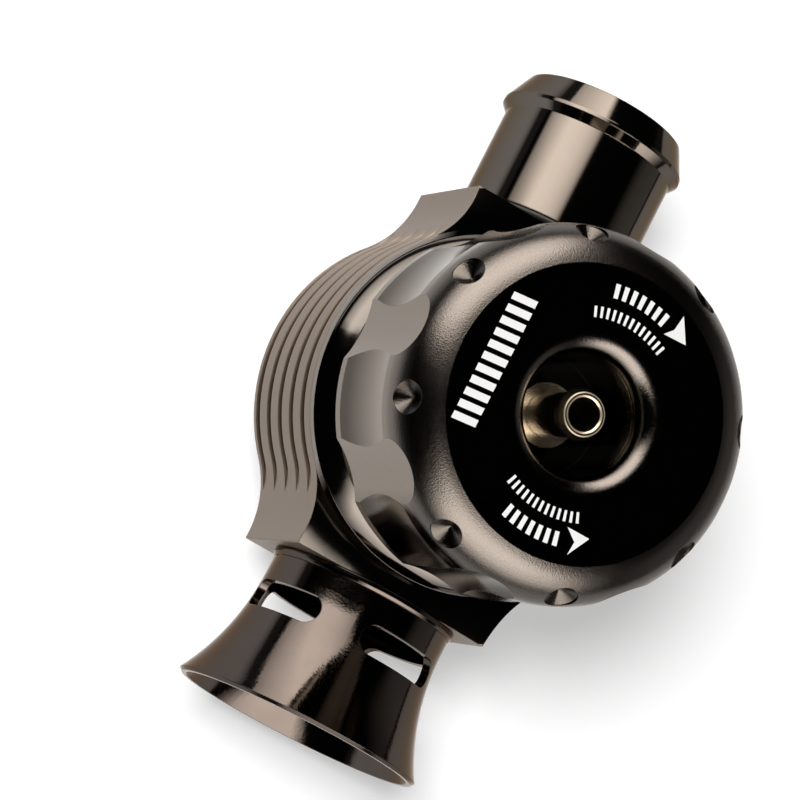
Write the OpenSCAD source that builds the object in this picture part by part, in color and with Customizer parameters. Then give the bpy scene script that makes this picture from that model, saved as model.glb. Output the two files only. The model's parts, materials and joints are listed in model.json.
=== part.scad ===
// Blow off valve for a 25 mm boost hose: finned body, hose outlet, slotted trumpet, adjuster cap.
// Millimetres. Z runs up through the cap and X to the hose outlet, with z = 0 at the inlet mouth.

/* [Body] */
// Radius of the finned round
body_round_r = 25.3; // [25:0.1:27]
// Height of the finned block
body_height = 22.6; // [22:0.1:28]
// Distance from the axis to each port face
port_face_x = 27.5; // [26.5:0.1:34]
// Half width of the port shoulders
shoulder_half_w = 15.2; // [14:0.1:17]
// Radius of the hollow blend from the round into a shoulder
shoulder_blend_r = 14.5; // [8:0.5:16]
// Radius of the turned arc that lowers the shoulders' tops towards their corners
shoulder_arc_r = 18; // [14:0.5:60]
// Radius of the smooth dome above the fins at its foot
dome_foot_r = 24.6; // [24:0.1:25]
// Radius of the dome's rounding
dome_curve_r = 5.4; // [4.8:0.1:8]
// Lean of the dome's side from upright at its foot
dome_lean = 33; // [20:1:40]
// Radius of the collar above the dome
collar_r = 22; // [21.6:0.1:23.5]
// Height of the dome and the collar
collar_height = 7.7; // [6.5:0.1:12]
// Radius of the neck that the cap screws onto
neck_r = 21; // [19.5:0.1:21.5]
// Height of the neck above the collar
neck_height = 10.3; // [9:0.1:11]
// Radius of the piston bore
bore_r = 15.55; // [15:0.05:16.5]
// Thickness of the floor that carries the valve seat
floor_thickness = 3.2; // [2.6:0.1:3.3]

/* [Fins] */
// Number of grooves between the fins
groove_count = 5; // [1:1:5]
// Spacing of the grooves
groove_pitch = 4.45; // [3:0.05:4.5]
// Height of the lowest groove's middle above the block's underside
groove_start = 1.8; // [1.5:0.1:2.5]
// Width of a groove
groove_width = 1.5; // [0.6:0.1:2]
// Depth of a groove at the front of the round
groove_depth = 0.6; // [0.4:0.1:2]
// Rise of the groove floor beside a shoulder, where the groove runs out
groove_runout = 0.6; // [0.3:0.05:1.2]

/* [Ports and seals] */
// Radius of the gas passage in each side port
port_bore_r = 8; // [6:0.1:8]
// Radius of the screwed spigots of the fittings
spigot_r = 9.8; // [9.2:0.1:10.4]
// Length of the side spigots
spigot_length = 8; // [5:0.1:9]
// Gap round a spigot in its thread
spigot_clear = 0.05; // [0.02:0.01:0.1]
// Section diameter of the rings that seal the fittings
port_seal_d = 0.9; // [0.6:0.1:1.4]
// Section diameter of the piston and neck rings
seal_d = 1.5; // [1.2:0.1:1.8]
// Slack of a ring in its groove
seal_slack = 0.05; // [0.02:0.01:0.1]
// Distance from the neck's rim to the ring on it
neck_seal_drop = 1.5; // [1:0.1:3]

/* [Hose ends] */
// Outer radius of the hose tubes
hose_tube_r = 12.7; // [12.2:0.1:13]
// Bore radius of the hose tubes
hose_bore_r = 10.2; // [9:0.1:11]
// Bore radius through the spigots
spigot_bore_r = 8; // [6:0.1:8.5]
// Length of the bore cone from spigot to tube
bore_cone = 2.2; // [1:0.1:5]
// Length of the inlet below the body
inlet_length = 19.6; // [14:0.1:30]
// Length of the outlet beyond its port face
outlet_length = 20.7; // [14:0.1:30]
// Radius of the bead that keeps the hose on
bead_r = 13.7; // [13.2:0.1:14]
// Length of the slope from the tube up to the bead
bead_slope = 1.2; // [0.6:0.1:3]
// Width of the flat land on top of the bead
bead_land = 0.5; // [0.3:0.1:2]
// Length of the cone from the bead's land to the mouth
bead_nose = 3.9; // [2:0.1:6]
// Outer radius of the mouth
mouth_r = 11.8; // [11.4:0.1:12.2]

/* [Trumpet] */
// Length of the trumpet beyond its port face
trumpet_length = 21; // [16:0.1:24]
// Outer radius of the trumpet's neck
trumpet_neck_r = 13.3; // [12.5:0.1:14]
// Straight length of the neck
trumpet_neck = 3.5; // [2.5:0.1:5]
// Radius of the flare's curve
flare_r = 34; // [30:0.5:50]
// Wall of the trumpet
trumpet_wall = 1.2; // [1:0.1:2]
// Chamfer round the outside of the trumpet's rim
rim_chamfer = 0.7; // [0.3:0.1:0.8]
// Thickness of the web between the spigot and the trumpet's neck
trumpet_web = 1.2; // [0.8:0.1:2]
// Number of slots round the trumpet
slot_count = 4; // [2:1:5]
// Width of a slot along the trumpet
slot_width = 4.1; // [2:0.1:6]
// Distance from the port face to a slot's middle
slot_place = 7; // [6.5:0.1:9]
// Half angle of a slot between its round ends' centres
slot_half_angle = 23; // [8:0.5:24]
// Turn of the first slot from level, as the trumpet tightens up
slot_turn = 21; // [0:1:90]

/* [Adjuster cap] */
// Radius of the cap over its lobes
cap_r = 24.8; // [23.5:0.1:26]
// Height of the cap
cap_height = 24.8; // [24:0.1:28]
// Gap under the cap at the setting shown
cap_gap = 0.6; // [0.4:0.1:3]
// Radius of the cap's rounded top edge
cap_edge_r = 6.8; // [6:0.1:7.2]
// Radius of the flat disc on top, which ends in a crease
disc_r = 19.4; // [19:0.1:20]
// Number of lobes round the cap
lobe_count = 8; // [6:1:10]
// Depth of the hollows between the lobes
scallop_depth = 1; // [0.4:0.05:1.2]
// Radius of the cutter that makes a hollow
scallop_r = 16; // [10:0.1:40]
// Turn of the first hollow from the hose outlet
cap_phase = 0.8; // [0:0.1:45]
// Depth of the turned waist round the lobes
waist_depth = 0.45; // [0.2:0.05:0.8]
// Height of the plain rim below the waist
waist_low = 1.8; // [1:0.1:4]
// Height of the waist
waist_height = 14.8; // [8:0.1:15]
// Diameter of the dimple on each lobe
dimple_d = 4.4; // [2:0.1:5]
// Straight depth of a dimple above its drill point
dimple_depth = 0.5; // [0.2:0.1:1]
// Half angle of the drill point at a dimple's bottom
drill_half_angle = 59; // [45:1:70]
// Tilt of the dimples above level
dimple_tilt = 33; // [20:1:50]
// Gap between the cap's thread and the neck
thread_clear = 0.06; // [0.03:0.01:0.1]
// Height of the threaded part of the skirt
skirt_thread = 12; // [9:0.1:14]
// Thickness of the cap's crown
crown_thickness = 6.5; // [5.8:0.1:8]
// Depth of the relief above the skirt's thread
crown_relief = 1; // [0.4:0.1:2]
// Radius of the well in the crown
well_r = 8; // [7:0.1:9]
// Radius of the well's rounded lip
well_lip_r = 2.5; // [1:0.1:2.8]
// Depth of the well
well_depth = 14.5; // [13:0.1:15]
// Thickness of the well's floor
well_floor = 1.8; // [1.4:0.1:2.4]
// Wall of the boss round the well
well_wall = 2.6; // [2:0.1:4]

/* [Vacuum nipple] */
// Radius of the nipple's foot
nipple_foot_r = 4.3; // [4.1:0.1:6]
// Thickness of the foot
nipple_foot = 1.1; // [0.8:0.1:2]
// Radius of the nipple's tube
nipple_tube_r = 2.95; // [2.8:0.05:3.1]
// Height of the nipple above the well's floor
nipple_height = 13.9; // [9:0.1:16]
// Radius of the nipple's bead
nipple_bead_r = 3.4; // [3.2:0.05:3.8]
// Width of the bead's land
nipple_bead_land = 0.5; // [0.3:0.1:1]
// Length of the cones either side of the land
nipple_cone = 1.1; // [0.6:0.1:2]
// Radius of the nipple's tip
nipple_tip_r = 2.85; // [2.7:0.05:3.2]
// Bore radius of the nipple
nipple_bore_r = 2.2; // [1.2:0.1:2.2]
// Radius of the countersunk mouth
nipple_mouth_r = 2.4; // [2.3:0.05:2.6]
// Radius of the nipple's screwed spigot
nipple_spigot_r = 2.6; // [2.4:0.05:2.8]

/* [Piston and spring] */
// Gap round the piston in its bore
piston_clear = 0.05; // [0.02:0.01:0.1]
// Wall of the piston's cup
piston_wall = 2.7; // [2.4:0.1:3.5]
// Thickness of the piston's nose
piston_nose = 3.6; // [3:0.1:5]
// Gap under the nose ring when the valve is closed
seat_gap = 0.3; // [0.1:0.05:0.5]
// Mean radius of the nose ring
seat_ring_r = 12.2; // [11.4:0.1:13]
// Section diameter of the nose ring
seat_ring_d = 1.8; // [1.4:0.1:2]
// Height that the nose ring stands out
seat_ring_stand = 0.3; // [0.2:0.05:0.5]
// Distance from the port's top edge to the lower piston ring
seal_above_port = 2.6; // [1.5:0.1:4]
// Spacing of the two piston rings
piston_seal_pitch = 4.4; // [3.8:0.1:6]
// Distance from the upper ring to the piston's rim
piston_rim = 2.4; // [1.4:0.1:3]
// Height of the guide band between the rings
guide_height = 1.6; // [1:0.1:1.8]
// Thickness of the guide band
guide_thickness = 0.8; // [0.5:0.1:1.2]
// Diameter of the spring wire
spring_wire = 1.8; // [1.2:0.1:2]
// Mean radius of the spring
spring_r = 9; // [8.5:0.1:10]
// Number of working turns
spring_turns = 6; // [4:1:7]
// Number of close turns at each end
spring_end_turns = 1; // [1:1:2]
// Radius of the spring seat
spring_seat_r = 11.6; // [11:0.1:12]
// Thickness of the spring seat
spring_seat_thickness = 2.2; // [1.2:0.1:3]
// Radius of the seat's centring boss
seat_boss_r = 7; // [5:0.1:7.2]
// Height of the centring boss
seat_boss = 3; // [1:0.1:5]
// Thickness of the thrust washer
washer_thickness = 0.8; // [0.5:0.1:1.2]
// Gap between parts that turn or part from each other
running_gap = 0.3; // [0.2:0.05:0.4]

/* [Hidden] */
$fn = 128;
// Length that a cut or a joined shape runs past a face
past = 1;
block_z = inlet_length;
block_top_z = block_z + body_height;
port_z = block_z + body_height / 2;
groove_low_z = block_z + groove_start - groove_width / 2;
floor_z = block_z + floor_thickness;
collar_top_z = block_top_z + collar_height;
neck_top_z = collar_top_z + neck_height;
port_hole_r = spigot_r + spigot_clear;
neck_seal_z = neck_top_z - seal_d - neck_seal_drop;
cap_z = collar_top_z + cap_gap;
cap_top_z = cap_z + cap_height;
skirt_r = neck_r + thread_clear;
edge_mid_r = cap_r - cap_edge_r;
edge_mid_z = cap_top_z - sqrt(pow(cap_edge_r, 2) - pow(disc_r - edge_mid_r, 2));
waist_mid_z = cap_z + waist_low + waist_height / 2;
waist_curve_r = (pow(waist_height / 2, 2) + pow(waist_depth, 2)) / (2 * waist_depth);
scallop_axis_r = cap_r - scallop_depth + scallop_r;
well_floor_z = cap_top_z - well_depth;
boss_z = well_floor_z - well_floor;
boss_r = well_r + well_wall;
foot_z = well_floor_z + port_seal_d;
nipple_top_z = well_floor_z + nipple_height;
drill_point = (dimple_d / 2) / tan(drill_half_angle);
piston_r = bore_r - piston_clear;
piston_z = floor_z + seat_gap + seat_ring_stand;
cup_r = piston_r - piston_wall;
cup_z = piston_z + piston_nose;
lower_seal_z = port_z + port_bore_r + seal_above_port;
upper_seal_z = lower_seal_z + piston_seal_pitch;
guide_z = (lower_seal_z + upper_seal_z - guide_height) / 2;
piston_top_z = upper_seal_z + piston_rim;
washer_z = boss_z - running_gap - washer_thickness;
spring_seat_z = washer_z - spring_seat_thickness;
spring_low_z = cup_z + seal_slack + spring_wire / 2;
spring_high_z = spring_seat_z - running_gap - spring_wire / 2;
coil_turns = spring_turns + 2 * spring_end_turns;
end_pitch = spring_wire + seal_slack;
open_pitch = (spring_high_z - spring_low_z - 2 * spring_end_turns * end_pitch) / spring_turns;
rings_per_turn = 16;
wire_sides = 8;

// Plan of the body: the round, the two shoulders and the hollow blends between them
module body_plan(round_r, half_w, reach) {
    blend_x = sqrt(pow(round_r + shoulder_blend_r, 2) - pow(half_w + shoulder_blend_r, 2));
    blend_y = half_w + shoulder_blend_r;
    intersection() {
        union() {
            circle(round_r);
            square([2 * reach, 2 * half_w], center = true);
            for (flip_x = [0, 1], flip_y = [0, 1])
                mirror([flip_x, 0, 0])
                    mirror([0, flip_y, 0])
                        difference() {
                            polygon([[0, 0], [blend_x, 0], [blend_x, blend_y]]);
                            translate([blend_x, blend_y]) circle(shoulder_blend_r);
                        }
        }
        square(2 * reach, center = true);
    }
}

// One groove round the body, shallower towards the shoulders until it runs out
module fin_groove() {
    outside = port_face_x + body_round_r;
    linear_extrude(groove_width)
        difference() {
            square(2 * outside, center = true);
            body_plan(body_round_r - groove_depth, shoulder_half_w + groove_runout, outside + past);
        }
}

// Smooth top of the round, from its foot at z = 0 up into the collar
module dome() {
    curve_x = dome_foot_r - dome_curve_r * cos(dome_lean);
    curve_y = -dome_curve_r * sin(dome_lean);
    rotate_extrude()
        intersection() {
            union() {
                translate([curve_x, curve_y]) circle(dome_curve_r);
                square([curve_x, curve_y + dome_curve_r]);
            }
            square([dome_foot_r, dome_curve_r]);
        }
    cylinder(r = collar_r, h = collar_height);
}

// What the lathe takes off the shoulders' tops, which are level at the dome's foot
module shoulder_turning() {
    rotate_extrude()
        difference() {
            translate([dome_foot_r, -shoulder_arc_r]) square([shoulder_arc_r, shoulder_arc_r + past]);
            translate([dome_foot_r, -shoulder_arc_r]) circle(shoulder_arc_r);
        }
}

// A seal ring with its axis along Z and its lowest point at z = 0
module seal_ring(mean_r, section_d) {
    color("#1a1a1a")
        translate([0, 0, section_d / 2])
            rotate_extrude() translate([mean_r, 0]) circle(section_d / 2);
}

// Square groove for a ring or a band that lies flush with an outer wall
module flush_groove(wall_r, depth, height) {
    rotate_extrude() translate([wall_r - depth, 0]) square([depth + past, height]);
}

// Puts what points up at a side port, with sense 1 at the hose outlet and -1 at the trumpet
module at_port(sense) {
    translate([sense * port_face_x, 0, port_z]) rotate([0, sense * 90, 0]) children();
}

// Section of a hose end, from its spigot up past its face to the bead and the mouth
module barb_section(length, spigot) {
    bore_step = port_seal_d + bore_cone;
    land_y = length - bead_nose - bead_land;
    difference() {
        union() {
            translate([0, -spigot]) square([spigot_r, spigot + port_seal_d + past]);
            polygon([[0, port_seal_d], [hose_tube_r, port_seal_d], [hose_tube_r, land_y - bead_slope],
                [bead_r, land_y], [bead_r, land_y + bead_land], [mouth_r, length], [0, length]]);
        }
        polygon([[-past, -spigot - past], [spigot_bore_r, -spigot - past], [spigot_bore_r, bore_step],
            [hose_bore_r, bore_step + bore_cone], [hose_bore_r, length + past],
            [-past, length + past]]);
        translate([-bead_r, -spigot - past]) square([bead_r, spigot + length + 2 * past]);
    }
}

// Section of the trumpet, from its spigot to the rim of the flare
module trumpet_section() {
    flare_x = trumpet_neck_r + flare_r;
    web_y = port_seal_d + trumpet_web;
    mouth = trumpet_length - trumpet_neck;
    rim_r = flare_x - sqrt(pow(flare_r, 2) - pow(mouth, 2));
    difference() {
        union() {
            translate([0, -spigot_length]) square([spigot_r, spigot_length + port_seal_d + past]);
            translate([0, port_seal_d]) square([trumpet_neck_r, trumpet_neck - port_seal_d]);
            difference() {
                translate([0, trumpet_neck]) square([flare_x, mouth]);
                translate([flare_x, trumpet_neck]) circle(flare_r);
            }
        }
        translate([0, -spigot_length - past]) square([spigot_bore_r, spigot_length + web_y + 2 * past]);
        translate([0, web_y]) square([trumpet_neck_r - trumpet_wall, trumpet_neck - web_y]);
        difference() {
            translate([0, trumpet_neck]) square([flare_x, mouth + past]);
            translate([flare_x, trumpet_neck]) circle(flare_r + trumpet_wall);
        }
        polygon([[rim_r - rim_chamfer - past, trumpet_length + past], [rim_r + past, trumpet_length + past],
            [rim_r + past, trumpet_length - rim_chamfer - past]]);
    }
}

// One slot of the trumpet: a part ring with a round end at each side
module trumpet_slot() {
    reach = trumpet_neck_r + trumpet_length;
    translate([0, 0, slot_place]) {
        rotate([0, 0, -slot_half_angle])
            rotate_extrude(angle = 2 * slot_half_angle)
                translate([spigot_bore_r, -slot_width / 2]) square([reach, slot_width]);
        for (side = [-1, 1])
            rotate([0, 0, side * slot_half_angle])
                rotate([0, 90, 0])
                    translate([0, 0, spigot_bore_r]) cylinder(d = slot_width, h = reach);
    }
}

// Section of the cap: waisted skirt, rounded edge, flat crown and the well with its lip
module cap_section() {
    lip_z = cap_top_z - well_lip_r;
    ceiling_z = cap_top_z - crown_thickness;
    difference() {
        union() {
            translate([0, cap_z]) square([cap_r, edge_mid_z - cap_z]);
            translate([0, cap_z]) square([edge_mid_r, cap_height]);
            intersection() {
                translate([edge_mid_r, edge_mid_z]) circle(cap_edge_r);
                translate([0, cap_z]) square([cap_r, cap_height]);
            }
        }
        translate([cap_r - waist_depth + waist_curve_r, waist_mid_z]) circle(waist_curve_r);
        translate([0, cap_z - past]) square([skirt_r, boss_z - cap_z + past]);
        translate([boss_r, cap_z]) square([skirt_r - boss_r, skirt_thread]);
        translate([boss_r, cap_z]) square([skirt_r - crown_relief - boss_r, ceiling_z - cap_z]);
        translate([0, well_floor_z]) square([well_r, well_depth + past]);
        difference() {
            translate([0, lip_z]) square([well_r + well_lip_r, well_lip_r + past]);
            translate([well_r + well_lip_r, lip_z]) circle(well_lip_r);
        }
        translate([0, boss_z - past]) square([nipple_spigot_r + spigot_clear, well_floor + 2 * past]);
        translate([-cap_r, cap_z - past]) square([cap_r, cap_height + 2 * past]);
    }
}

// Drill-point dimple with its rim at z = 0, cut downwards
module dimple() {
    rotate_extrude()
        polygon([[0, past], [dimple_d / 2, past], [dimple_d / 2, -dimple_depth],
            [0, -dimple_depth - drill_point]]);
}

module body() {
    color("#5f5b57")
        difference() {
            union() {
                translate([0, 0, block_z])
                    linear_extrude(body_height) body_plan(body_round_r, shoulder_half_w, port_face_x);
                translate([0, 0, block_top_z]) dome();
                translate([0, 0, collar_top_z]) cylinder(r = neck_r, h = neck_height);
            }
            translate([0, 0, floor_z]) cylinder(r = bore_r, h = neck_top_z - floor_z + past);
            translate([0, 0, block_z - past]) cylinder(r = port_hole_r, h = floor_thickness + 2 * past);
            for (sense = [-1, 1])
                at_port(sense) {
                    translate([0, 0, -spigot_length])
                        cylinder(r = port_hole_r, h = spigot_length + past);
                    translate([0, 0, -port_face_x]) cylinder(r = port_bore_r, h = port_face_x);
                }
            translate([0, 0, block_top_z]) shoulder_turning();
            for (i = [0 : groove_count - 1])
                translate([0, 0, groove_low_z + i * groove_pitch]) fin_groove();
            translate([0, 0, neck_seal_z])
                flush_groove(neck_r, seal_d + seal_slack, seal_d + 2 * seal_slack);
        }
}

module inlet_barb() {
    color("#4a4644")
        translate([0, 0, block_z])
            rotate([180, 0, 0])
                rotate_extrude() barb_section(inlet_length, floor_thickness);
}

module inlet_seal() {
    translate([0, 0, block_z - port_seal_d]) seal_ring(hose_tube_r - port_seal_d / 2, port_seal_d);
}

module outlet_barb() {
    color("#4a4644")
        at_port(1) rotate_extrude() barb_section(outlet_length, spigot_length);
}

module outlet_seal() {
    at_port(1) seal_ring(hose_tube_r - port_seal_d / 2, port_seal_d);
}

module trumpet() {
    color("#6f625a")
        at_port(-1)
            difference() {
                rotate_extrude() trumpet_section();
                for (i = [0 : slot_count - 1])
                    rotate([0, 0, 90 - slot_turn + i * 360 / slot_count]) trumpet_slot();
            }
}

module trumpet_seal() {
    at_port(-1) seal_ring(trumpet_neck_r - port_seal_d / 2, port_seal_d);
}

module neck_seal() {
    translate([0, 0, neck_seal_z + seal_slack]) seal_ring(neck_r - seal_d / 2, seal_d);
}

module adjuster_cap() {
    color("#2b2a29")
        difference() {
            rotate_extrude() cap_section();
            for (i = [0 : lobe_count - 1])
                rotate([0, 0, cap_phase + i * 360 / lobe_count]) {
                    translate([scallop_axis_r, 0, cap_z - past])
                        cylinder(r = scallop_r, h = cap_height + 2 * past);
                    rotate([0, 0, 180 / lobe_count])
                        translate([edge_mid_r, 0, edge_mid_z])
                            rotate([0, 90 - dimple_tilt, 0])
                                translate([0, 0, cap_edge_r]) dimple();
                }
        }
}

module vacuum_nipple() {
    land_z = nipple_top_z - nipple_cone - nipple_bead_land;
    color("#b8a274")
        rotate_extrude()
            difference() {
                union() {
                    translate([0, boss_z]) square([nipple_spigot_r, foot_z - boss_z]);
                    translate([0, foot_z]) square([nipple_foot_r, nipple_foot]);
                    translate([0, foot_z]) square([nipple_tube_r, land_z - foot_z]);
                    polygon([[0, land_z - nipple_cone], [nipple_tube_r, land_z - nipple_cone],
                        [nipple_bead_r, land_z], [nipple_bead_r, land_z + nipple_bead_land],
                        [nipple_tip_r, nipple_top_z], [0, nipple_top_z]]);
                }
                translate([0, boss_z - past]) square([nipple_bore_r, nipple_top_z - boss_z + 2 * past]);
                polygon([[0, nipple_top_z + past], [0, nipple_top_z - nipple_mouth_r],
                    [nipple_mouth_r, nipple_top_z], [nipple_mouth_r, nipple_top_z + past]]);
            }
}

module nipple_seal() {
    translate([0, 0, well_floor_z]) seal_ring(nipple_foot_r - port_seal_d / 2, port_seal_d);
}

module spring_seat() {
    color("#8d8f92")
        difference() {
            union() {
                translate([0, 0, spring_seat_z]) cylinder(r = spring_seat_r, h = spring_seat_thickness);
                translate([0, 0, spring_seat_z - seat_boss]) cylinder(r = seat_boss_r, h = seat_boss);
            }
            translate([0, 0, spring_seat_z - seat_boss - past])
                cylinder(r = nipple_spigot_r, h = seat_boss + spring_seat_thickness + 2 * past);
        }
}

module thrust_washer() {
    color("#d8d2c4")
        difference() {
            translate([0, 0, washer_z]) cylinder(r = boss_r, h = washer_thickness);
            translate([0, 0, washer_z - past])
                cylinder(r = nipple_spigot_r, h = washer_thickness + 2 * past);
        }
}

module piston() {
    groove_h = seal_d + 2 * seal_slack;
    ring_seat_h = seat_ring_d - seat_ring_stand + seal_slack;
    color("#a9abad")
        difference() {
            translate([0, 0, piston_z]) cylinder(r = piston_r, h = piston_top_z - piston_z);
            translate([0, 0, cup_z]) cylinder(r = cup_r, h = piston_top_z - cup_z + past);
            for (ring_z = [lower_seal_z, upper_seal_z])
                translate([0, 0, ring_z - groove_h / 2])
                    flush_groove(piston_r, seal_d + seal_slack, groove_h);
            translate([0, 0, guide_z - seal_slack])
                flush_groove(piston_r, guide_thickness + seal_slack, guide_height + 2 * seal_slack);
            translate([0, 0, piston_z - past])
                rotate_extrude()
                    translate([seat_ring_r - seat_ring_d / 2 - seal_slack, 0])
                        square([seat_ring_d + 2 * seal_slack, ring_seat_h + past]);
        }
}

module piston_upper_seal() {
    translate([0, 0, upper_seal_z - seal_d / 2]) seal_ring(piston_r - seal_d / 2, seal_d);
}

module piston_lower_seal() {
    translate([0, 0, lower_seal_z - seal_d / 2]) seal_ring(piston_r - seal_d / 2, seal_d);
}

module piston_guide() {
    color("#c9c4b8")
        translate([0, 0, guide_z])
            rotate_extrude()
                translate([piston_r - guide_thickness, 0]) square([guide_thickness, guide_height]);
}

module seat_ring() {
    translate([0, 0, floor_z + seat_gap]) seal_ring(seat_ring_r, seat_ring_d);
}

// Height of the wire's centre after a number of turns: close at both ends, open between
function coil_z(turn) =
    let (open_turns = min(max(turn - spring_end_turns, 0), spring_turns))
    spring_low_z + (turn - open_turns) * end_pitch + open_turns * open_pitch;

// Points of one ring of the wire
function wire_ring(turn) = [
    for (side = [0 : wire_sides - 1])
        let (
            r = spring_r + spring_wire / 2 * cos(360 * side / wire_sides),
            z = coil_z(turn) + spring_wire / 2 * sin(360 * side / wire_sides)
        )
        [r * cos(360 * turn), r * sin(360 * turn), z]
];

module valve_spring() {
    rings = coil_turns * rings_per_turn;
    points = [for (ring = [0 : rings]) each wire_ring(ring / rings_per_turn)];
    near = [for (side = [wire_sides - 1 : -1 : 0]) side];
    far = [for (side = [0 : wire_sides - 1]) rings * wire_sides + side];
    walls = [
        for (ring = [0 : rings - 1], side = [0 : wire_sides - 1])
            let (
                next = (side + 1) % wire_sides,
                here = ring * wire_sides,
                there = here + wire_sides
            )
            each [[here + side, here + next, there + side], [here + next, there + next, there + side]]
    ];
    color("#9a9da1") polyhedron(points, concat([near, far], walls));
}

body();
inlet_barb();
inlet_seal();
outlet_barb();
outlet_seal();
trumpet();
trumpet_seal();
neck_seal();
adjuster_cap();
vacuum_nipple();
nipple_seal();
spring_seat();
thrust_washer();
piston();
piston_upper_seal();
piston_lower_seal();
piston_guide();
seat_ring();
valve_spring();
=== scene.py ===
import json
import math

import bmesh
import bpy
from mathutils import Matrix, Vector


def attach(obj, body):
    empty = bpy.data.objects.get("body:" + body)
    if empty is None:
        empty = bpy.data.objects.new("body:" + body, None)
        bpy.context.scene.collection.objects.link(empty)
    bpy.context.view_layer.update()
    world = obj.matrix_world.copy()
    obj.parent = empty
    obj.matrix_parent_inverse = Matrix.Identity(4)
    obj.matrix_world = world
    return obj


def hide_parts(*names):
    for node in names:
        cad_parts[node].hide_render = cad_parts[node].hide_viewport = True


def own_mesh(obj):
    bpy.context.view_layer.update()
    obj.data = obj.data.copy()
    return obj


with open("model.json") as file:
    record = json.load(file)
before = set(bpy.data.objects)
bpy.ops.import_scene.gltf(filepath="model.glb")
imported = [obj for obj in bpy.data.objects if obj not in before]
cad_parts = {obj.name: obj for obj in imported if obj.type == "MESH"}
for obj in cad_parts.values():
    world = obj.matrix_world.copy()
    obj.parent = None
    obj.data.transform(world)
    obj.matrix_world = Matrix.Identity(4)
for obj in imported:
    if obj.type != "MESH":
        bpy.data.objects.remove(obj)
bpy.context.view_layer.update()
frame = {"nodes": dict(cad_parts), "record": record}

scene = bpy.context.scene
scene.view_settings.view_transform = "Standard"
mm = 0.001
print("valve: CAD nodes loaded", len(frame["nodes"]))


# node helpers
plainNoise = {"Detail": 2.0, "Roughness": 0.5}
richNoise = {"Detail": 3.0, "Roughness": 0.6}
noiseMiddle = (0.3, 0.7)  # most values of a noise lie between these
bevelSamples = 4


def addNode(tree, kind, inputs=None, **settings):
    made = tree.nodes.new(kind)
    for key, value in settings.items():
        setattr(made, key, value)
    for key, value in (inputs or {}).items():
        if isinstance(value, bpy.types.NodeSocket):
            tree.links.new(value, made.inputs[key])
        else:
            made.inputs[key].default_value = value
    return made


def startFinish(name):
    mat = bpy.data.materials.new(name)
    mat.use_nodes = True
    tree = mat.node_tree
    tree.nodes.clear()
    out = addNode(tree, "ShaderNodeOutputMaterial")
    shader = addNode(tree, "ShaderNodeBsdfPrincipled")
    tree.links.new(shader.outputs["BSDF"], out.inputs["Surface"])
    spot = addNode(tree, "ShaderNodeTexCoord").outputs["Object"]
    return mat, tree, shader, spot


def plug(tree, value, shader, name):
    tree.links.new(value, shader.inputs[name])


def calc(tree, kind, *terms):
    return addNode(tree, "ShaderNodeMath", dict(enumerate(terms)), operation=kind).outputs[0]


def spread(tree, value, *ends):  # from low and high to two new ends
    return addNode(tree, "ShaderNodeMapRange", dict(enumerate((value, *ends)))).outputs[0]


def fade(tree, value, start, end):
    return spread(tree, value, start, end, 0.0, 1.0)


def blend(tree, mask, without, withIt):
    return spread(tree, mask, 0.0, 1.0, without, withIt)


def tint(tree, share, first, second):
    inputs = {0: share, 6: first, 7: second}  # the colour sockets of a Mix node
    return addNode(tree, "ShaderNodeMix", inputs, data_type="RGBA").outputs[2]


def scaled(tree, vector, share):
    return addNode(tree, "ShaderNodeVectorMath", {0: vector, "Scale": share}, operation="SCALE").outputs[0]


def added(tree, first, second):
    return addNode(tree, "ShaderNodeVectorMath", {0: first, 1: second}, operation="ADD").outputs[0]


def axes(tree, vector):
    return addNode(tree, "ShaderNodeSeparateXYZ", {0: vector}).outputs


def inMillimetres(tree, spot):
    return axes(tree, scaled(tree, spot, 1 / mm))


def reach(tree, first, second):  # long side of a right triangle
    squares = [calc(tree, "MULTIPLY", side, side) for side in (first, second)]
    return calc(tree, "SQRT", calc(tree, "ADD", *squares))


def speckle(tree, spot, scale, noise=richNoise):
    return addNode(tree, "ShaderNodeTexNoise", {"Vector": spot, "Scale": scale, **noise}).outputs[0]


def varied(tree, noise, ends):
    return spread(tree, noise, *noiseMiddle, *ends)


def relief(tree, height, strength, depth, normal=None):
    made = addNode(tree, "ShaderNodeBump", {"Height": height, "Strength": strength, "Distance": depth})
    if normal is not None:
        tree.links.new(normal, made.inputs["Normal"])
    return made.outputs[0]


def softEdge(tree, radius):
    return addNode(tree, "ShaderNodeBevel", {"Radius": radius}, samples=bevelSamples).outputs[0]


def above(tree, value, level):
    return calc(tree, "GREATER_THAN", value, level)


def below(tree, value, level):
    return calc(tree, "LESS_THAN", value, level)


def within(tree, value, middle, half):
    return below(tree, calc(tree, "ABSOLUTE", calc(tree, "SUBTRACT", value, middle)), half)


def inStep(tree, value, step, share):  # a share on each side of every step's middle
    return within(tree, calc(tree, "FRACT", calc(tree, "DIVIDE", value, step)), 0.5, share)


def inverse(tree, mask):
    return calc(tree, "SUBTRACT", 1.0, mask)


def both(tree, *masks):
    result = masks[0]
    for mask in masks[1:]:
        result = calc(tree, "MULTIPLY", result, mask)
    return result


def either(tree, *masks):
    result = masks[0]
    for mask in masks[1:]:
        result = calc(tree, "MAXIMUM", result, mask)
    return result


def addPiece(name, bm, mat):
    mesh = bpy.data.meshes.new(name)
    bm.to_mesh(mesh)
    bm.free()
    mesh.materials.append(mat)
    piece = bpy.data.objects.new(name, mesh)
    scene.collection.objects.link(piece)
    return piece


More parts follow.
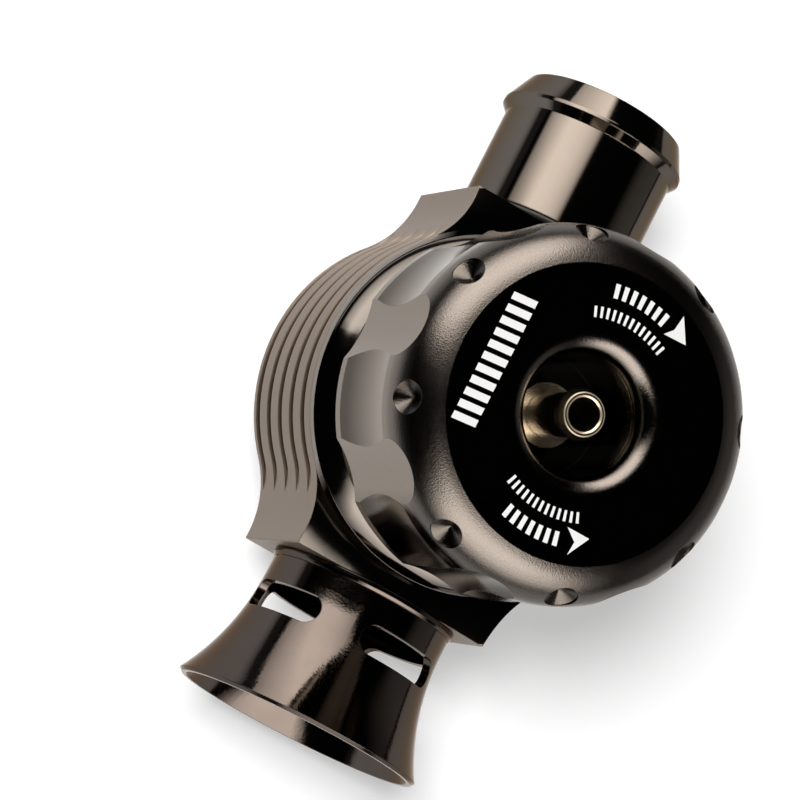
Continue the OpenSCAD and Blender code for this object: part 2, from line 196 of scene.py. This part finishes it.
# white marks printed on the cap's disc, in millimetres and degrees
discPrint = {
    "colour": (0.86, 0.85, 0.83, 1.0),
    "level": 75.2,
    "arrows": [  # tip, wing, notch, wing
        ((14.55, -8.03), (17.77, -6.01), (15.49, -5.66), (14.30, -4.59)),
        ((-13.72, -7.92), (-13.80, -4.47), (-15.07, -6.25), (-16.96, -6.11)),
    ],
    "outerTicks": {"radius": 16.3, "half": 0.95, "span": 15.5, "count": 7, "share": 0.26},
    "innerTicks": {"radius": 13.2, "half": 0.72, "span": 25.0, "count": 13, "share": 0.22},
    "rowBars": {"across": 14.45, "half": 1.75, "reach": 9.4, "count": 11, "share": 0.3, "slant": 0.12},
}


def leftOf(tree, x, y, a, b):
    rise = calc(tree, "MULTIPLY", calc(tree, "SUBTRACT", y, a[1]), b[0] - a[0])
    run = calc(tree, "MULTIPLY", calc(tree, "SUBTRACT", x, a[0]), b[1] - a[1])
    return above(tree, calc(tree, "SUBTRACT", rise, run), 0.0)


def triangle(tree, x, y, a, b, c):
    if (b[0] - a[0]) * (c[1] - a[1]) - (b[1] - a[1]) * (c[0] - a[0]) < 0:
        b, c = c, b
    return both(tree, *[leftOf(tree, x, y, *side) for side in ((a, b), (b, c), (c, a))])


def arcTicks(tree, r, angle, look):
    step = 2 * look["span"] / look["count"]
    return both(tree, within(tree, r, look["radius"], look["half"]),
                below(tree, calc(tree, "ABSOLUTE", angle), look["span"]),
                inStep(tree, calc(tree, "ADD", angle, look["span"]), step, look["share"]))


def slantedRow(tree, x, y, look):
    off = calc(tree, "SUBTRACT", y, look["across"])
    lean = calc(tree, "ADD", x, calc(tree, "MULTIPLY", off, look["slant"]))
    step = 2 * look["reach"] / look["count"]
    return both(tree, within(tree, off, 0.0, look["half"]), within(tree, lean, 0.0, look["reach"]),
                inStep(tree, calc(tree, "ADD", lean, look["reach"]), step, look["share"]))


def printMask(tree, x, y, z, r):
    sideAngle = calc(tree, "DEGREES", calc(tree, "ARCTAN2", y, calc(tree, "ABSOLUTE", x)))
    marks = [triangle(tree, x, y, tip, wing, notch)
             for tip, wingA, notch, wingB in discPrint["arrows"] for wing in (wingA, wingB)]
    marks += [arcTicks(tree, r, sideAngle, discPrint[name]) for name in ("outerTicks", "innerTicks")]
    marks.append(slantedRow(tree, x, y, discPrint["rowBars"]))
    return both(tree, either(tree, *marks), above(tree, z, discPrint["level"]))


# cap: satin black with a fine grain, drilled dimples, white marks, painted light on the walls, painted shade
# on the waist, dimples, disc and well, painted glints in the well (levels and radii in millimetres)
capLook = {
    "dark": (0.078, 0.071, 0.065, 1.0),
    "light": (0.122, 0.112, 0.103, 1.0),
    "grain": 4600.0,
    "rough": (0.14, 0.2),
    # painted light: the walls take a lighter copy of the cap's colour for the lit floor they reflect
    "wall": {"dark": (0.164, 0.142, 0.12, 1.0), "light": (0.258, 0.224, 0.19, 1.0), "rough": 0.12,
             "top": (67.0, 71.0), "tube": 6.76},
    "trumpetShade": {"x": (-24.0, -19.0), "keep": 0.17},  # painted shade: the wall is darker toward the trumpet
    # painted shade and light: the walls' waist is darker low down and slightly lighter high up
    "waist": {"axisR": 85.42, "axisZ": 59.7, "curve": 61.1, "z": (54.0, 65.0), "shade": (0.3, 1.1)},
    "relief": (0.15, 1.0),  # walls, rounded edge
    "depth": 0.03 * mm,
    "edge": 0.12 * mm,
    # dimple keep: colour share left inside the dimples, painted shade
    "dimple": {"first": 23.3, "count": 8, "halfAngle": 6.2, "ringR": 18.0, "ringZ": 68.65, "tube": 6.72,
               "low": 69.9, "rough": 0.16, "keep": 0.6},
    # disc: a darker copy of the cap colour, painted shade for the dark sky it reflects
    "disc": {"dark": (0.026, 0.025, 0.024, 1.0), "light": (0.04, 0.038, 0.036, 1.0), "rough": 0.14,
             "edge": 19.4, "z": (75.15, 75.29)},
    "lip": {"radius": 10.6, "low": 72.6, "rough": 0.1},
    # well: the well painted nearly black inside, painted shade
    "well": {"colour": (0.006, 0.006, 0.006, 1.0), "radius": 8.1, "top": 72.6, "rough": 0.1},
    # rings: thin light rings on the well's wall, painted highlights of its fillets
    "rings": {"colour": (0.3, 0.29, 0.28, 1.0), "levels": (60.95, 71.9), "half": 0.07},
    "edgeTint": (0.75, 0.73, 0.71, 1.0),
}


def satinBlack():
    mat, tree, shader, spot = startFinish("satinBlack")
    wall = capLook["wall"]
    side = capLook["trumpetShade"]
    waist = capLook["waist"]
    hole = capLook["dimple"]
    disc = capLook["disc"]
    lip = capLook["lip"]
    well = capLook["well"]
    ring = capLook["rings"]
    x, y, z = inMillimetres(tree, spot)
    r = reach(tree, x, y)
    fine = speckle(tree, spot, capLook["grain"])

    # where each surface of the cap is
    face = both(tree, fade(tree, z, *disc["z"]), below(tree, r, disc["edge"]))
    step = 360 / hole["count"]
    turn = calc(tree, "DEGREES", calc(tree, "ARCTAN2", y, x))
    turn = calc(tree, "SUBTRACT", turn, hole["first"] - step / 2 - 360)  # never below zero
    near = inStep(tree, turn, step, hole["halfAngle"] / step)
    tube = reach(tree, calc(tree, "SUBTRACT", r, hole["ringR"]), calc(tree, "SUBTRACT", z, hole["ringZ"]))
    drilled = both(tree, near, below(tree, tube, hole["tube"]), above(tree, z, hole["low"]),
                   above(tree, r, hole["ringR"]))
    hollow = both(tree, below(tree, tube, wall["tube"]), inverse(tree, near), above(tree, r, hole["ringR"]))
    high = both(tree, fade(tree, z, *wall["top"]), inverse(tree, hollow))
    curve = reach(tree, calc(tree, "SUBTRACT", r, waist["axisR"]), calc(tree, "SUBTRACT", z, waist["axisZ"]))
    onWaist = below(tree, curve, waist["curve"])
    inWell = both(tree, below(tree, r, well["radius"]), below(tree, z, well["top"]))
    # painted highlights: thin glint rings in the well
    rings = either(tree, *[within(tree, z, level, ring["half"]) for level in ring["levels"]])
    onLip = both(tree, below(tree, r, lip["radius"]), above(tree, z, lip["low"]))
    ink = printMask(tree, x, y, z, r)

    # colour, with painted light and painted shade
    # painted shade along the waist of the walls
    wallShade = blend(tree, onWaist, 1.0, spread(tree, z, *waist["z"], *waist["shade"]))
    # painted shade: darker toward the trumpet, which hides the lit floor from the wall
    wallShade = calc(tree, "MULTIPLY", wallShade, spread(tree, x, *side["x"], side["keep"], 1.0))
    # painted light: the walls are a lighter copy of the cap colour
    litWalls = scaled(tree, tint(tree, fine, wall["dark"], wall["light"]), wallShade)
    metal = tint(tree, high, litWalls, tint(tree, fine, capLook["dark"], capLook["light"]))
    # painted shade: the disc is a darker copy of the cap colour
    metal = tint(tree, face, metal, tint(tree, fine, disc["dark"], disc["light"]))
    # painted shade in the well, with painted highlight rings on its wall
    metal = tint(tree, inWell, metal, tint(tree, rings, well["colour"], ring["colour"]))
    # painted shade: the dimples are darker
    metal = scaled(tree, metal, blend(tree, drilled, 1.0, hole["keep"]))
    plug(tree, tint(tree, ink, metal, discPrint["colour"]), shader, "Base Color")
    plug(tree, inverse(tree, ink), shader, "Metallic")
    shader.inputs["Specular Tint"].default_value = capLook["edgeTint"]

    # smoothness and grain
    rough = blend(tree, high, wall["rough"], varied(tree, fine, capLook["rough"]))
    for mask, look in ((drilled, hole), (onLip, lip), (face, disc), (inWell, well)):
        rough = blend(tree, mask, rough, look["rough"])
    plug(tree, rough, shader, "Roughness")
    strength = blend(tree, high, *capLook["relief"])
    edge = softEdge(tree, capLook["edge"])
    plug(tree, relief(tree, fine, strength, capLook["depth"], edge), shader, "Normal")
    return mat


# body: blasted sides, polished turned tops, painted shade in the grooves, a painted highlight line on the
# brim (levels and radii in millimetres)
bodyLook = {
    "blasted": (0.176, 0.138, 0.109, 1.0),
    "blastedLight": (0.226, 0.178, 0.139, 1.0),
    "polished": (0.084, 0.078, 0.072, 1.0),
    # brim: colour of the painted highlight line on the brim, not metallic
    "brim": (0.2, 0.18, 0.165, 1.0),
    "blastRough": (0.42, 0.52),
    "polishRough": (0.06, 0.1),
    "grain": 4200.0,
    "relief": 0.16,
    "depth": 0.03 * mm,
    "polishGrain": 0.12,  # share of the grain left on the polished tops
    "blastEdge": 0.45 * mm,
    "polishEdge": 0.1 * mm,
    "top": {"facing": 0.35, "low": 41.0},  # least upward share of the normal, lowest level
    "ledge": (24.78, 25.42),  # radii of the painted highlight line on the brim above the fins
    "shoulder": (15.4, 18.6),  # the painted highlight line fades out toward the shoulders
    # grooves: painted shade, keep is the colour share left between the floor and brim radii
    "grooves": {"low": 21.4, "pitch": 4.45, "half": 0.8, "floor": 24.75, "brim": 25.3, "keep": 0.18},
}


def bodyBlack():
    mat, tree, shader, spot = startFinish("bodyBlack")
    look = bodyLook
    cut = look["grooves"]
    inside, outside = look["ledge"]
    x, y, z = inMillimetres(tree, spot)
    r = reach(tree, x, y)
    facing = axes(tree, addNode(tree, "ShaderNodeNewGeometry").outputs["True Normal"])[2]
    fine = speckle(tree, spot, look["grain"])

    # where the painted groove shade, the polished tops and the painted highlight line on the brim are
    inGroove = inStep(tree, calc(tree, "SUBTRACT", z, cut["low"] - cut["pitch"] / 2), cut["pitch"],
                      cut["half"] / cut["pitch"])
    grooveShade = both(tree, inGroove, spread(tree, r, cut["floor"], cut["brim"], 1.0, 0.0))
    top = both(tree, above(tree, facing, look["top"]["facing"]), above(tree, z, look["top"]["low"]))
    brimGlint = both(tree, top, above(tree, r, inside), below(tree, r, outside),
                fade(tree, calc(tree, "ABSOLUTE", y), *look["shoulder"]))
    turned = calc(tree, "SUBTRACT", top, brimGlint)

    blasted = tint(tree, fine, look["blasted"], look["blastedLight"])
    # painted shade: the grooves are darker
    blasted = scaled(tree, blasted, blend(tree, grooveShade, 1.0, cut["keep"]))
    # painted highlight line on the brim
    metal = tint(tree, brimGlint, tint(tree, turned, blasted, look["polished"]), look["brim"])
    plug(tree, metal, shader, "Base Color")
    plug(tree, inverse(tree, brimGlint), shader, "Metallic")
    blastRough = varied(tree, fine, look["blastRough"])
    polishRough = varied(tree, fine, look["polishRough"])
    rough = blend(tree, turned, blastRough, polishRough)
    plug(tree, rough, shader, "Roughness")
    height = calc(tree, "MULTIPLY", fine, blend(tree, turned, 1.0, look["polishGrain"]))
    edge = softEdge(tree, blend(tree, turned, look["blastEdge"], look["polishEdge"]))
    plug(tree, relief(tree, height, look["relief"], look["depth"], edge), shader, "Normal")
    return mat


# turned metals: a cloudy colour, a roughness range, a fine grain and an edge rounding
turnedLooks = {
    "polished_black": {"colour": (0.1, 0.089, 0.078, 1.0), "light": (0.109, 0.097, 0.086, 1.0),
                       "rough": (0.05, 0.09), "grain": 9000.0, "relief": 0.02, "edge": 0.2 * mm,
                       "edgeTint": (0.56, 0.49, 0.43, 1.0)},
    "gunmetal": {"colour": (0.062, 0.053, 0.048, 1.0), "light": (0.08, 0.068, 0.061, 1.0),
                 "rough": (0.05, 0.11), "grain": 3000.0, "relief": 0.3, "edge": 0.15 * mm,
                 "edgeTint": (0.62, 0.54, 0.48, 1.0)},
    "nickel_brass": {"colour": (0.6, 0.52, 0.4, 1.0), "light": (0.78, 0.69, 0.54, 1.0),
                     "rough": (0.12, 0.2), "grain": 6000.0, "relief": 0.12, "edge": 0.14 * mm,
                     "tip": {"level": 74.55, "groove": 2.61, "half": 0.1, "rough": 0.42},  # millimetres
                     "foot": {"level": 63.5, "rough": 0.26}},
    "turned_aluminium": {"colour": (0.62, 0.63, 0.64, 1.0), "light": (0.72, 0.73, 0.74, 1.0),
                         "rough": (0.22, 0.36), "grain": 4500.0, "relief": 0.15, "edge": 0.15 * mm},
    "spring_steel": {"colour": (0.42, 0.43, 0.45, 1.0), "light": (0.56, 0.57, 0.59, 1.0),
                     "rough": (0.2, 0.34), "grain": 3000.0, "relief": 0.05, "edge": 0.05 * mm},
}
turnedCloud = 160.0
turnedDepth = 0.02 * mm


def turnedMetal(name, look):
    mat, tree, shader, spot = startFinish(name)
    fine = speckle(tree, spot, look["grain"], plainNoise)
    cloud = speckle(tree, spot, turnedCloud)
    plug(tree, tint(tree, cloud, look["colour"], look["light"]), shader, "Base Color")
    shader.inputs["Metallic"].default_value = 1.0
    if "edgeTint" in look:
        shader.inputs["Specular Tint"].default_value = look["edgeTint"]
    rough = varied(tree, fine, look["rough"])
    if "tip" in look:
        tip = look["tip"]
        foot = look["foot"]
        x, y, z = inMillimetres(tree, spot)
        inGroove = within(tree, reach(tree, x, y), tip["groove"], tip["half"])
        onTip = both(tree, above(tree, z, tip["level"]), inverse(tree, inGroove))
        rough = blend(tree, onTip, rough, tip["rough"])
        rough = blend(tree, below(tree, z, foot["level"]), rough, foot["rough"])
    plug(tree, rough, shader, "Roughness")
    edge = softEdge(tree, look["edge"])
    plug(tree, relief(tree, fine, look["relief"], turnedDepth, edge), shader, "Normal")
    return mat


# moulded rubber and acetal
mouldedLooks = {
    "rubber": {"colour": (0.006, 0.006, 0.006, 1.0), "light": (0.012, 0.012, 0.012, 1.0),
               "rough": (0.5, 0.68), "grain": 2600.0, "relief": 0.15},
    "acetal": {"colour": (0.74, 0.71, 0.64, 1.0), "light": (0.82, 0.79, 0.72, 1.0),
               "rough": (0.36, 0.5), "grain": 1500.0, "relief": 0.08},
}
mouldedDepth = 0.04 * mm


def moulded(name, look):
    mat, tree, shader, spot = startFinish(name)
    fine = speckle(tree, spot, look["grain"])
    plug(tree, tint(tree, fine, look["colour"], look["light"]), shader, "Base Color")
    plug(tree, varied(tree, fine, look["rough"]), shader, "Roughness")
    plug(tree, relief(tree, fine, look["relief"], mouldedDepth), shader, "Normal")
    return mat


finishes = {"satin_black": satinBlack(), "body_black": bodyBlack()}
for slotName, slotLook in turnedLooks.items():
    finishes[slotName] = turnedMetal(slotName, slotLook)
for slotName, slotLook in mouldedLooks.items():
    finishes[slotName] = moulded(slotName, slotLook)
for subpart in frame["record"]["subparts"]:
    for holder in frame["nodes"][subpart["node"]].material_slots:
        holder.material = finishes[subpart["material_slot"]]


# camera fitted to the photograph
viewpoint = {
    "lens": 160.25,
    "sensor": 36.0,
    "clip": (0.01, 20.0),
    "place": (-0.09330, 0.16476, 0.48748),
    "right": (0.44505866, -0.81582457, 0.36926016),
    "up": (0.87592594, 0.48234326, 0.00993624),
    "back": (-0.18621638, 0.31902234, 0.92927295),
}


def makeCamera():
    data = bpy.data.cameras.new("photoCamera")
    data.lens = viewpoint["lens"]
    data.sensor_width = viewpoint["sensor"]
    data.clip_start, data.clip_end = viewpoint["clip"]
    cam = bpy.data.objects.new("photoCamera", data)
    scene.collection.objects.link(cam)
    turn = Matrix((viewpoint["right"], viewpoint["up"], viewpoint["back"])).transposed()
    cam.matrix_world = Matrix.Translation(viewpoint["place"]) @ turn.to_4x4()
    scene.camera = cam


# key lamp: at a level of 1 it lights a level floor to its written colour
keyLamp = {"aim": (0.0, 0.0, 0.0), "azimuth": 93, "elevation": 66, "away": 1.2, "size": 0.3, "level": 1.0}


def makeKeyLamp():
    az = math.radians(keyLamp["azimuth"])
    el = math.radians(keyLamp["elevation"])
    data = bpy.data.lights.new("keyLamp", "AREA")
    data.shape = "DISK"
    data.size = keyLamp["size"]
    data.energy = keyLamp["level"] * (math.pi * keyLamp["away"]) ** 2 / math.sin(el)
    lamp = bpy.data.objects.new("keyLamp", data)
    scene.collection.objects.link(lamp)
    out = Vector((math.cos(az) * math.cos(el), math.sin(az) * math.cos(el), math.sin(el)))
    place = Vector(keyLamp["aim"]) + out * keyLamp["away"]
    lamp.matrix_world = Matrix.Translation(place) @ out.to_track_quat("Z", "Y").to_matrix().to_4x4()
    lamp.visible_glossy = False


# studio panels for the metal to reflect, in degrees round and above the floor
roomLook = {
    "unit": 7.0,  # radiance of a full ramp value
    "span": (-20.0, 80.0),  # elevations that the ramps cover
    "bendFrom": 30.0,  # a panel bends sideways above this elevation
    "dark": (0.001, 0.001, 0.001),
    "panels": [
        {"middle": 40.5, "half": 35.5, "edge": 2.5, "tilt": 0.2, "bend": 0.0135,
         "colour": (1.0, 0.925, 0.855),
         "ramp": ((-2.5, 0.0), (0.5, 0.33), (4, 0.42), (8, 0.52), (15, 0.65), (21, 0.79),
                  (28, 0.95), (40, 0.92), (52, 0.8), (60, 0.63), (66, 0.45), (72, 0.0))},
        {"middle": 195.5, "half": 35.5, "edge": 6.0, "tilt": 0.0, "bend": 0.0,
         "colour": (1.0, 0.925, 0.855),
         "ramp": ((-8, 0.0), (0, 0.2), (15, 0.5), (36, 0.9), (46, 0.9), (60, 0.75), (68, 0.5), (74, 0.0))},
        {"middle": -80.0, "half": 30.0, "edge": 12.0, "tilt": 0.0, "bend": 0.0,
         "colour": (1.0, 0.95, 0.9),
         "ramp": ((-4, 0.05), (10, 0.04), (26, 0.03), (40, 0.0))},
    ],
}


def heightRamp(tree, height, stops):
    low, high = roomLook["span"]
    made = addNode(tree, "ShaderNodeValToRGB", {0: fade(tree, height, low, high)})
    points = made.color_ramp.elements
    while len(points) < len(stops):
        points.new(0.5)
    for point, (level, value) in zip(points, stops):
        point.position = (level - low) / (high - low)
    for point, (level, value) in zip(points, stops):
        point.color = (value, value, value, 1.0)
    return made.outputs[0]


def makeRoom():
    room = bpy.data.worlds.new("studio")
    scene.world = room
    room.use_nodes = True
    tree = room.node_tree
    back = tree.nodes["Background"]
    x, y, z = axes(tree, addNode(tree, "ShaderNodeTexCoord").outputs["Generated"])
    turn = calc(tree, "DEGREES", calc(tree, "ARCTAN2", y, x))
    height = calc(tree, "DEGREES", calc(tree, "ARCSINE", z))
    over = calc(tree, "MAXIMUM", calc(tree, "SUBTRACT", height, roomLook["bendFrom"]), 0.0)
    over = calc(tree, "MULTIPLY", over, over)
    total = None
    for panel in roomLook["panels"]:
        off = calc(tree, "WRAP", calc(tree, "SUBTRACT", turn, panel["middle"]), 180.0, -180.0)
        away = calc(tree, "ABSOLUTE", calc(tree, "ADD", off, calc(tree, "MULTIPLY", over, panel["bend"])))
        inside = fade(tree, away, panel["half"] + panel["edge"], panel["half"] - panel["edge"])
        level = calc(tree, "SUBTRACT", height, calc(tree, "MULTIPLY", off, panel["tilt"]))
        glow = calc(tree, "MULTIPLY", inside, heightRamp(tree, level, panel["ramp"]))
        lit = scaled(tree, panel["colour"], glow)
        total = lit if total is None else added(tree, total, lit)
    tree.links.new(added(tree, total, roomLook["dark"]), back.inputs["Color"])
    back.inputs["Strength"].default_value = roomLook["unit"]
    room.cycles_visibility.diffuse = False


makeCamera()
makeKeyLamp()
makeRoom()
print("valve: camera and lamps set")


# floor: a pale sheet under the valve and dark ground beyond it, in metres
floorLook = {
    "half": 6.0,
    "near": (0.6, 0.6, 0.6, 1.0),
    "far": (0.04, 0.04, 0.04, 1.0),
    "centre": (0.0, -0.25, 0.0),
    "fade": (0.36, 0.47),  # distances from the centre over which the pale sheet ends
    "glow": 0.5,
    "rough": 0.9,
    "specular": 0.0,
    "mottle": {"scale": 900.0, "share": 0.02},
}


def paleFloor():
    mat, tree, shader, spot = startFinish("paleFloor")
    look = floorLook
    away = addNode(tree, "ShaderNodeVectorMath", {0: spot, 1: look["centre"]},
                   operation="DISTANCE").outputs[1]
    mottle = speckle(tree, spot, look["mottle"]["scale"], plainNoise)
    mottle = blend(tree, mottle, 0.0, look["mottle"]["share"])
    out = calc(tree, "ADD", fade(tree, away, *look["fade"]), mottle)
    colour = tint(tree, out, look["near"], look["far"])
    plug(tree, colour, shader, "Base Color")
    shader.inputs["Roughness"].default_value = look["rough"]
    shader.inputs["Specular IOR Level"].default_value = look["specular"]
    path = addNode(tree, "ShaderNodeLightPath").outputs
    seen = either(tree, path["Is Camera Ray"], path["Is Glossy Ray"], path["Is Transmission Ray"])
    plug(tree, colour, shader, "Emission Color")
    plug(tree, calc(tree, "MULTIPLY", seen, look["glow"] / look["near"][0]), shader, "Emission Strength")
    return mat


def makeFloor():
    bm = bmesh.new()
    bmesh.ops.create_grid(bm, x_segments=1, y_segments=1, size=floorLook["half"])
    floor = addPiece("floor", bm, paleFloor())


makeFloor()
print("valve: floor laid")


# valve spring: a smooth round wire with close end turns
springLook = {"meanR": 9.0 * mm, "wire": 1.8 * mm, "lowZ": 27.95 * mm, "topZ": 55.4 * mm,
              "close": (1, 1.85 * mm), "open": (6, 3.8083 * mm),  # turns, pitch
              "steps": 40, "sides": 14, "keep": 0.718}


def makeSpring():
    look = springLook
    bm = bmesh.new()
    upright = Matrix.Translation((look["meanR"], 0, look["lowZ"])) @ Matrix.Rotation(math.radians(90), 4, "X")
    bmesh.ops.create_circle(bm, segments=look["sides"], radius=look["wire"] / 2, matrix=upright)
    front = list(bm.verts) + list(bm.edges)
    for turns, pitch in (look["close"], look["open"], look["close"]):
        rise = pitch / look["steps"]
        done = bmesh.ops.spin(bm, geom=front, cent=(0, 0, 0), axis=(0, 0, 1), dvec=(0, 0, rise),
                              angle=math.radians(360 * turns), steps=turns * look["steps"], use_merge=False)
        front = done["geom_last"]
    bmesh.ops.holes_fill(bm, edges=[e for e in bm.edges if e.is_boundary], sides=look["sides"])
    bmesh.ops.recalc_face_normals(bm, faces=bm.faces)
    for face in bm.faces:
        face.smooth = len(face.verts) == 4  # the wire's two ends stay flat
    wire = addPiece("springWire", bm, finishes["spring_steel"])
    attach(wire, "valve_body")
    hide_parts("valve_spring")
    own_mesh(wire)


makeSpring()
print("valve: spring made")


# turned flange at the trumpet's root, axis along X
flangeLook = {"face": 27.5 * mm, "axisZ": 30.9 * mm, "gap": 0.15 * mm, "land": 0.7 * mm, "length": 1.2 * mm,
              "innerR": 13.32 * mm, "outerR": 13.6 * mm, "steps": 96, "crease": 0.4}  # crease in radians


def makeFlange():
    look = flangeLook
    bm = bmesh.new()
    section = ((look["gap"], look["innerR"]), (look["gap"], look["outerR"]), (look["land"], look["outerR"]),
               (look["length"], look["innerR"]))
    corners = [bm.verts.new((-look["face"] - along, 0.0, look["axisZ"] + r)) for along, r in section]
    edges = [bm.edges.new(pair) for pair in zip(corners, corners[1:] + corners[:1])]
    bmesh.ops.spin(bm, geom=corners + edges, cent=(0, 0, look["axisZ"]), axis=(1, 0, 0),
                   angle=math.radians(360), steps=look["steps"], use_merge=True)
    bmesh.ops.recalc_face_normals(bm, faces=bm.faces)
    for face in bm.faces:
        face.smooth = True
    for edge in bm.edges:
        edge.smooth = len(edge.link_faces) == 2 and edge.calc_face_angle() < look["crease"]
    ring = addPiece("trumpetFlange", bm, finishes["gunmetal"])
    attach(ring, "valve_body")


makeFlange()
print("valve: flange made")
